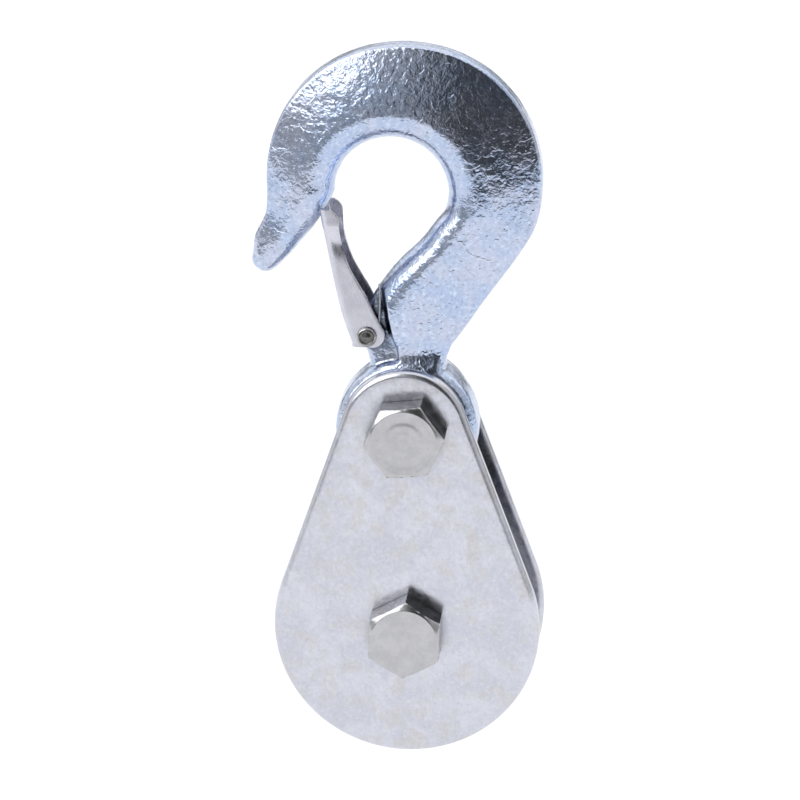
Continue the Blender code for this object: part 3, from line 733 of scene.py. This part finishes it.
def make_latch(material):
    """A channel folded from sheet: its section is a web with two flanges, bent round small corners."""
    bend = 2.0
    rows = spline(latch_rows(), 3)
    rings = []
    for z, web, edge, half in rows:
        flange = [(edge - (edge - web - bend) * i / 8, -half + dimple(z) * (1 - i / 8)) for i in range(8)]
        corner = [(web + bend - bend * math.sin(a), -half + bend - bend * math.cos(a))
                  for a in np.linspace(0, math.pi / 2, 7)]
        back = [(web, -half + bend + (half - bend) * i / 4) for i in range(1, 5)]
        half_section = flange + corner + back
        section = half_section + [(x, -y) for x, y in reversed(half_section[:-1])]
        rings.append([(x, y, z) for x, y in section])
    bm = bmesh.new()
    placed = [[bm.verts.new(point) for point in ring] for ring in rings]
    for one, two in zip(placed, placed[1:]):
        for i in range(1, len(one)):
            bm.faces.new((one[i - 1], one[i], two[i], two[i - 1]))
    latch = raw("sheet_latch", bm)
    solid = latch.modifiers.new("thickness", "SOLIDIFY")
    solid.thickness = LATCH_SHEET
    solid.offset = -1.0
    bake(latch)
    bore = disc([(PIN_RADIUS + 0.2, -20), (PIN_RADIUS + 0.2, 20)], 48)
    combine(latch, "DIFFERENCE", raw("pin_bore", bore))
    # The web stops below the head's top, so that the hook's nose sits between the head's flanges
    above, reach = 50.0, -20.0
    notch = [(reach, LATCH_WEB_TOP), (reach, above), (0.0, above), (0.0, LATCH_WEB_TOP)]
    combine(latch, "DIFFERENCE", raw("nose_notch", prism(notch, -NOTCH_HALF, NOTCH_HALF)))
    soften = latch.modifiers.new("edges", "BEVEL")
    soften.width = 0.16
    soften.segments = 2
    soften.angle_limit = math.radians(50.0)
    bake(latch)
    latch.data.transform(Matrix.Scale(MM, 4) @ Matrix.Translation(PIVOT + PIN))
    return dress(latch, material, "latch", ["latch"], 45.0)


def make_rivet(material):
    """The latch's pin, with a low domed and slightly dished head at both ends."""
    face = LATCH_HALF + 0.3
    head = [(PIN_RADIUS, face), (3.35, face), (3.4, face + 0.3), (3.3, face + 0.8), (3.0, face + 1.15)]
    head += [(2.7, face + 1.2), (2.4, face + 0.8), (2.1, face + 0.65), (1.3, face + 0.8), (0.5, face + 1.1)]
    bm = disc([(radius, -y) for radius, y in reversed(head)] + head, 64)
    return piece("latch_rivet", bm, material, "hook", ["latch_pin"], PIN)


def tube_along(path, radius, sides=12):
    """A round wire along a list of points."""
    points = [Vector(point) for point in path]
    rings = []
    side = Vector((0, 1, 0))
    for i, point in enumerate(points):
        ahead = (points[min(i + 1, len(points) - 1)] - points[max(i - 1, 0)]).normalized()
        side = (side - ahead * side.dot(ahead)).normalized()
        other = ahead.cross(side)
        angles = [2 * math.pi * k / sides for k in range(sides)]
        rings.append([point + (side * math.cos(a) + other * math.sin(a)) * radius for a in angles])
    return loft(rings)


def make_spring(material):
    """A torsion spring: a leg on the shank, one and a half turns round the pin, and a leg inside the web."""
    near, far, radius = -5.1, -3.2, 3.2
    path = [(4.4, near, 18.2), (4.4, near, 12.1), (4.1, near, 5.8)]
    for i in range(73):
        x, z = polar((0, 0), radius, -540 * i / 72)
        path.append((x, near + (far - near) * i / 72, z))
    path += [(-4.2, far, 5.0), (-5.8, far, 9.5), (-7.2, far, 13.5)]
    wire = tube_along(path, WIRE_RADIUS)
    spring = piece("torsion_spring", wire, material, None, ["latch_spring"], PIN)
    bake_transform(spring)
    return spring


# ---------------------------------------------------------------- plates

PLATE_TOP = (-0.6, 0.7)
PLATE_TOP_RADIUS = 21.6
PLATE_BOTTOM = (0.0, -70.2)
PLATE_BOTTOM_RADIUS = 45.7
PLATE_EDGE = 2.3
PLATE_HOLE = 8.4


def plate_outline(inset, shift):
    """Two arcs near the two bolts, joined by their outer tangents."""
    top_radius, bottom_radius = PLATE_TOP_RADIUS - inset, PLATE_BOTTOM_RADIUS - inset
    spacing = math.dist(PLATE_TOP, PLATE_BOTTOM)
    lean = math.degrees(math.asin((PLATE_BOTTOM_RADIUS - PLATE_TOP_RADIUS) / spacing))
    tilt = math.degrees(math.atan2(PLATE_TOP[0] - PLATE_BOTTOM[0], PLATE_TOP[1] - PLATE_BOTTOM[1]))
    top = arc(PLATE_TOP, top_radius, lean - tilt, 180 - lean - tilt, 48)
    bottom = arc(PLATE_BOTTOM, bottom_radius, 180 - lean - tilt, 360 + lean - tilt, 96)
    return [(x + shift, z) for x, z in top + bottom]


def make_plate(side, material, shift):
    """A pressed plate: flat, with a rolled outer edge and a small burr-free inner edge."""
    outer, inner = PLATE_FACE, PLATE_INNER
    rows = [(2.0, inner), (0.5, inner), (0.12, inner + 0.1), (0.0, inner + 0.4), (0.0, outer - PLATE_EDGE)]
    for degrees in range(10, 91, 10):
        angle = math.radians(degrees)
        rows.append((PLATE_EDGE * (1 - math.cos(angle)), outer - PLATE_EDGE * (1 - math.sin(angle))))
    rows.append((4.0, outer))
    rings = [[(x, y, z) for x, z in plate_outline(inset, shift)] for inset, y in rows]
    plate = raw(f"{side}_plate", loft(rings))
    for z in (0.0, AXLE.z):
        hole = disc([(PLATE_HOLE, -40), (PLATE_HOLE, 40)], 72)
        bmesh.ops.translate(hole, verts=hole.verts, vec=(0, 0, z))
        combine(plate, "DIFFERENCE", raw("hole", hole))
    mirror = Matrix.Diagonal((1, -1 if side == "front" else 1, 1, 1))
    plate.data.transform(Matrix.Scale(MM, 4) @ Matrix.Translation(PIVOT) @ mirror)
    if side == "front":
        plate.data.flip_normals()
    return dress(plate, material, "block", [f"{side}_cheek_plate"], 30.0)


# ---------------------------------------------------------------- bolts

HEX_FLATS = 24.0
HEX_FACE_RADIUS = HEX_FLATS / 2 * 0.945
HEAD_HEIGHT = 10.0
NUT_HEIGHT = 13.0
BOLT_RADIUS = 8.0
THREAD_PITCH = 2.0
THREAD_DEPTH = 1.15
WASHER_BORE = 8.5
WASHER_RADIUS = 15.0
LOCK_RADIUS = 13.4
LOCK_GAP = 7


def hexagon(radius_cap, turn, steps=16):
    """A hexagon's outline, cut off by a circle where its corners pass it."""
    points = []
    for i in range(6 * steps):
        degrees = 60.0 * i / steps
        off = math.radians((degrees % 60) - 30)
        reach = HEX_FLATS / 2 / math.cos(off)
        points.append(polar((0, 0), min(reach, radius_cap), degrees + turn))
    return points


def head_rows(height, both_ends):
    """(height, circle that cuts the corners) up a hexagon's side, with its chamfer of 30 degrees."""
    reach = HEX_FLATS / math.sqrt(3)
    face = HEX_FACE_RADIUS
    slope = math.tan(math.radians(30))
    chamfer = [(height - (radius - face) * slope, radius) for radius in np.linspace(reach, face, 9)]
    if both_ends:
        return [(height - y, radius) for y, radius in reversed(chamfer)] + chamfer
    return [(0.0, reach)] + chamfer


def face_rings():
    """A bolt head's top: a soft lip, then faint rings about a shallow dish."""
    face = HEX_FACE_RADIUS
    rows = [(face - 0.15, 0.04)]
    for radius in np.arange(face - 0.5, 0.4, -0.35):
        dish = -0.10 * math.exp(-((radius - 8.2) / 1.3) ** 2)
        ripple = 0.011 * math.sin(radius * 2.4)
        rows.append((radius, dish + ripple))
    return rows


def make_bolt(name, turn, material, at):
    """A hexagon bolt: forged head on a washer face, plain shank, and a rolled thread at its end."""
    seat = -(PLATE_FACE + 0.3)
    rings = []
    for radius, y in [(radius, seat - HEAD_HEIGHT - lift) for radius, lift in reversed(face_rings())]:
        rings.append([(x, y, z) for x, z in arc((0, 0), radius, turn, turn + 360, 96)[:-1]])
    for y, cap in reversed(head_rows(HEAD_HEIGHT, False)):
        rings.append([(x, seat - y, z) for x, z in hexagon(cap, turn)])
    for radius, y in ((11.3, seat), (BOLT_RADIUS, seat + 0.02)):
        rings.append([(x, y, z) for x, z in arc((0, 0), radius, turn, turn + 360, 96)[:-1]])
    end = size_of(name)[1].y
    start = end - 24.0
    y = start
    step = THREAD_PITCH / 8
    while y < end - 0.1:
        ring = []
        for i in range(96):
            degrees = 360 * i / 96
            phase = ((y - start) / THREAD_PITCH - i / 96) % 1.0
            depth = THREAD_DEPTH * (1 - abs(2 * phase - 1)) * min(1, (y - start) / 2)
            lead = max(0.0, 1.3 - (end - y)) * 0.9
            radius = min(BOLT_RADIUS - depth, BOLT_RADIUS - lead)
            x, z = polar((0, 0), radius, degrees + turn)
            ring.append((x, y, z))
        rings.append(ring)
        y += step
    for radius, y in ((6.6, end - 0.05), (6.3, end), (1.0, end)):
        rings.append([(x, y, z) for x, z in arc((0, 0), radius, turn, turn + 360, 96)[:-1]])
    return piece(f"{name}_hex", loft(rings), material, "block", [name], at, 24.0)


def make_nut(name, turn, material, at):
    node = f"{name}_nut"
    seat = size_of(node)[0].y
    bore = BOLT_RADIUS + 0.25
    rows = head_rows(NUT_HEIGHT, True)
    rings = [[(x, seat + y, z) for x, z in hexagon(cap, turn)] for y, cap in rows]
    inside = [(bore + 0.9, NUT_HEIGHT - 0.02), (bore, NUT_HEIGHT - 1.0), (bore, 1.0), (bore + 0.9, 0.02)]
    for radius, y in inside:
        rings.append([(x, seat + y, z) for x, z in arc((0, 0), radius, turn, turn + 360, 96)[:-1]])
    return piece(f"{node}_hex", loft(rings, closed=True), material, "block", [node], at, 24.0)


def make_washers(name, plate_material, dark_material, at):
    low, high = size_of(f"{name}_washer")
    inner, outer = WASHER_BORE, WASHER_RADIUS
    profile = rounded([(inner, low.y), (outer, low.y), (outer, high.y), (inner, high.y)], 0.45)
    flat = turned(profile, 128)
    piece(f"{name}_flat_ring", flat, plate_material, "block", [f"{name}_washer"], at)
    low, high = size_of(f"{name}_lock_washer")
    rings = []
    for i in range(121):
        degrees = 90 + LOCK_GAP + (360 - 2 * LOCK_GAP) * i / 120
        outer = LOCK_RADIUS
        corners = rounded([(inner, low.y), (outer, low.y), (outer, high.y), (inner, high.y)], 0.35, 3)
        rings.append([(*polar((0, 0), radius, degrees), y) for radius, y in corners])
    bm = loft([[(x, y, z) for x, z, y in ring] for ring in rings])
    piece(f"{name}_spring_ring", bm, dark_material, "block", [f"{name}_lock_washer"], at)


# ---------------------------------------------------------------- sheaves and bearings

SHEAVE_Y = 5.3
SHEAVE_HALF = 4.2
BEARING_HALF = 3.5
GROOVE_CENTRE = 37.2
GROOVE_RADIUS = 2.75
BALL_RADIUS = 1.75
BALL_CIRCLE = 13.0
TRACK_RADIUS = 2.05
SLEEVE_BORE = 8.3
SLEEVE_RADIUS = 9.8
DISC_BORE = 10.1
DISC_HUB = 12.0
DISC_RADIUS = 41.0


def ring_piece(node, name, corners, soften, material, body, slot, at, steps=160):
    """A turned piece with rounded corners that stands for one CAD node."""
    return piece(name, turned(rounded(corners, soften), steps), material, body, [node], at)


def make_sheave(side, y, material):
    groove = [(GROOVE_CENTRE + GROOVE_RADIUS * math.cos(math.radians(a)), GROOVE_RADIUS * math.sin(math.radians(a)))
              for a in range(110, 251, 10)]
    half = [(16.15, SHEAVE_HALF), (20.0, SHEAVE_HALF), (21.4, 2.8), (31.1, 2.8), (32.5, SHEAVE_HALF)]
    half += [(39.4, SHEAVE_HALF), (39.9, 3.9), (40.0, 3.4)]
    corners = half + groove + [(radius, -width) for radius, width in reversed(half)]
    profile = [(radius, width + y) for radius, width in rounded(corners, 0.35, 2)]
    piece(f"{side}_rope_sheave", turned(profile, 200), material, f"{side}_sheave",
          [f"{side}_sheave"], AXLE)


def make_bearing(side, y, steel, brass):
    edge = math.sqrt(TRACK_RADIUS**2 - 1.3**2)
    low = math.degrees(math.asin(edge / TRACK_RADIUS))
    parts = (
        ("inner", 10.1, 11.7, 180 + low, 180 - low, "block"),
        ("outer", 15.85, 14.3, -low, low, f"{side}_sheave"),
    )
    for place, wall, track, start, end, body in parts:
        groove = arc((BALL_CIRCLE, 0), TRACK_RADIUS, start, end, 10)
        corners = [(wall, -BEARING_HALF), (track, -BEARING_HALF)] + groove
        corners += [(track, BEARING_HALF), (wall, BEARING_HALF)]
        profile = [(radius, width + y) for radius, width in rounded(corners, 0.25, 2)]
        node = f"{side}_{place}_race"
        piece(f"{node}_ring", turned(profile, 120), steel, body, [node], AXLE)
    for place in ("inner", "outer"):
        node = f"{side}_{place}_shield"
        low_corner, high_corner = size_of(node)
        corners = [(12.0, low_corner.y), (14.0, low_corner.y), (14.0, high_corner.y), (12.0, high_corner.y)]
        ring_piece(node, f"{node}_disc", corners, 0.08, steel, f"{side}_sheave", "bearing_steel", AXLE, 120)
    node = f"{side}_spacer"
    low_corner, high_corner = size_of(node)
    corners = [(10.1, low_corner.y), (12.5, low_corner.y), (12.5, high_corner.y), (10.1, high_corner.y)]
    ring_piece(node, f"{node}_ring", corners, 0.2, steel, "block", "bearing_steel", AXLE, 120)
    for i in range(1, 10):
        node = f"{side}_ball_{i}"
        low_corner, high_corner = size_of(node)
        bm = bmesh.new()
        bmesh.ops.create_icosphere(bm, subdivisions=4, radius=BALL_RADIUS)
        centre = (low_corner + high_corner) / 2
        piece(f"{node}_round", bm, steel, f"{side}_cage", [node], centre)
    cage = frame["nodes"][f"{side}_cage"]
    cage.data.materials.clear()
    cage.data.materials.append(brass)


def make_sleeves(steel, plate_material):
    for node, at in (("hook_sleeve", Vector()), ("axle_sleeve", AXLE)):
        low, high = size_of(node)
        inner, outer = SLEEVE_BORE, SLEEVE_RADIUS
        corners = [(inner, low.y), (outer, low.y), (outer, high.y), (inner, high.y)]
        ring_piece(node, f"{node}_tube", corners, 0.25, steel, "block", "bearing_steel", at, 120)
    upper = [(DISC_BORE, 1.5), (DISC_HUB, 1.5), (DISC_HUB, 0.6), (DISC_RADIUS, 0.6)]
    corners = upper + [(radius, -y) for radius, y in reversed(upper)]
    disc_args = (plate_material, "block", "plate_zinc", AXLE, 200)
    ring_piece("divider_disc", "divider_sheet", corners, 0.25, *disc_args)


# ---------------------------------------------------------------- studio


def make_floor():
    """A wide pale table top under the block, which ends a little way in front of it."""
    bm = bmesh.new()
    for x in (-2.5, 2.5):
        for y in (-1.1, 6.0):
            bm.verts.new((x, y, CAD_BOX[0].z - 0.1))
    bm.verts.ensure_lookup_table()
    bm.faces.new([bm.verts[i] for i in (0, 2, 3, 1)])
    mesh = bpy.data.meshes.new("floor")
    bm.to_mesh(mesh)
    bm.free()
    floor = bpy.data.objects.new("floor", mesh)
    bpy.context.scene.collection.objects.link(floor)
    s = Surface("floor", 0.0, 0.9)
    s.shader.inputs["Specular IOR Level"].default_value = 0.0
    paper = s.mix(s.noise(400.0, 2.0), (0.955, 0.955, 0.96), (0.975, 0.975, 0.98))
    floor.data.materials.append(s.finish(paper))


class Sky(Surface):
    """The same node helpers for a world, read by direction."""

    def __init__(self, name):
        self.world = bpy.data.worlds.new(name)
        self.world.use_nodes = True
        self.tree = self.world.node_tree
        self.tree.nodes.clear()
        self.place = self.tree.nodes.new("ShaderNodeTexCoord").outputs["Generated"]

    def window(self, value, low, high, soft):
        """1 between low and high, falling to 0 over soft on both sides."""
        rise = self.between(value, low - soft / 2, low + soft / 2)
        return self.math("MULTIPLY", rise, self.between(value, high - soft / 2, high + soft / 2, 1.0, 0.0))


# Patches of the studio round the block: degrees right of ahead, degrees up, softness, brightness
STUDIO = (
    ((-200, -112), (-90, 10), 16, 0.30),
    ((112, 200), (-90, 10), 16, 0.30),
    ((-112, -56), (-90, 46), 12, 0.85),
    ((36, 112), (-90, 46), 12, 0.70),
    ((-66, 62), (-90, 9), 8, 0.42),
    ((-24, 44), (-90, 56), 8, 0.42),
    ((1, 35), (-90, 54), 12, 0.07),
    ((-62, -15), (11, 52), 8, 3.20),
)
OVERHEAD = 1.18


def make_world():
    """A soft studio: bright all round, a softbox high on the left, and the dark room behind the camera."""
    sky = Sky("studio")
    bpy.context.scene.world = sky.world
    nodes = sky.tree.nodes
    split = nodes.new("ShaderNodeSeparateXYZ")
    sky.tree.links.new(sky.place, split.inputs["Vector"])
    ahead = sky.math("MULTIPLY", split.outputs["Y"], -1.0)
    azimuth = sky.math("DEGREES", sky.math("ARCTAN2", split.outputs["X"], ahead))
    elevation = sky.math("DEGREES", sky.math("ARCSINE", split.outputs["Z"]))
    level = OVERHEAD
    for (left, right), (low, high), soft, value in STUDIO:
        inside = sky.window(azimuth, left, right, soft)
        inside = sky.math("MULTIPLY", inside, sky.window(elevation, low, high, soft))
        change = sky.math("SUBTRACT", value, level)
        level = sky.math("ADD", level, sky.math("MULTIPLY", inside, change))
    sides = nodes.new("ShaderNodeBackground")
    sides.inputs["Color"].default_value = (0.98, 0.99, 1.0, 1.0)
    sky.tree.links.new(level, sides.inputs["Strength"])
    seen = nodes.new("ShaderNodeBackground")
    seen.inputs["Color"].default_value = (1, 1, 1, 1)
    ray = nodes.new("ShaderNodeLightPath")
    pick = nodes.new("ShaderNodeMixShader")
    out = nodes.new("ShaderNodeOutputWorld")
    sky.tree.links.new(ray.outputs["Is Camera Ray"], pick.inputs["Fac"])
    sky.tree.links.new(sides.outputs["Background"], pick.inputs[1])
    sky.tree.links.new(seen.outputs["Background"], pick.inputs[2])
    sky.tree.links.new(pick.outputs["Shader"], out.inputs["Surface"])


def make_camera():
    """The main view: slightly to the right of the bolts' axis and from above it, with a long lens."""
    azimuth, elevation, roll = math.radians(5.02), math.radians(18.01), math.radians(-0.14)
    distance = 1.4
    aim = Vector((-1.94, -PLATE_FACE, 12.26))
    target = (PIVOT + aim) * MM
    back = Vector((
        math.sin(azimuth) * math.cos(elevation), -math.cos(azimuth) * math.cos(elevation), math.sin(elevation)
    ))
    data = bpy.data.cameras.new("camera")
    data.sensor_width = 36.0
    data.lens = 186.64
    data.clip_start = 0.05
    data.clip_end = 50.0
    camera = bpy.data.objects.new("camera", data)
    camera.rotation_mode = "QUATERNION"
    turn = (-back).to_track_quat("-Z", "Y") @ Euler((0, 0, roll)).to_quaternion()
    camera.rotation_quaternion = turn
    camera.location = target + back * distance
    bpy.context.scene.collection.objects.link(camera)
    bpy.context.scene.camera = camera


# ---------------------------------------------------------------- the scene


def main():
    forged, plate, bolt = forged_zinc(), plate_zinc(), bolt_zinc()
    sheet, dark, wire = sheet_steel(), dark_steel(), spring_wire()
    lathe, ground, brass = turned_steel(), ground_steel(), cage_brass()

    make_hook(forged)
    make_latch(sheet)
    make_rivet(dark)
    make_spring(wire)
    make_plate("front", plate, 0.0)
    make_plate("back", plate, 0.3)
    for name, head_turn, nut_turn, at in (("hook_bolt", 6.0, 20.0, Vector()), ("axle_bolt", 28.0, 4.0, AXLE)):
        make_bolt(name, head_turn, bolt, at)
        make_nut(name, nut_turn, bolt, at)
        make_washers(name, plate, dark, at)
    make_sleeves(ground, plate)
    for side, y in (("front", -SHEAVE_Y), ("back", SHEAVE_Y)):
        make_sheave(side, y, lathe)
        make_bearing(side, y, ground, brass)

    make_floor()
    make_world()
    make_camera()
    bpy.context.scene.view_settings.view_transform = "Standard"


main()
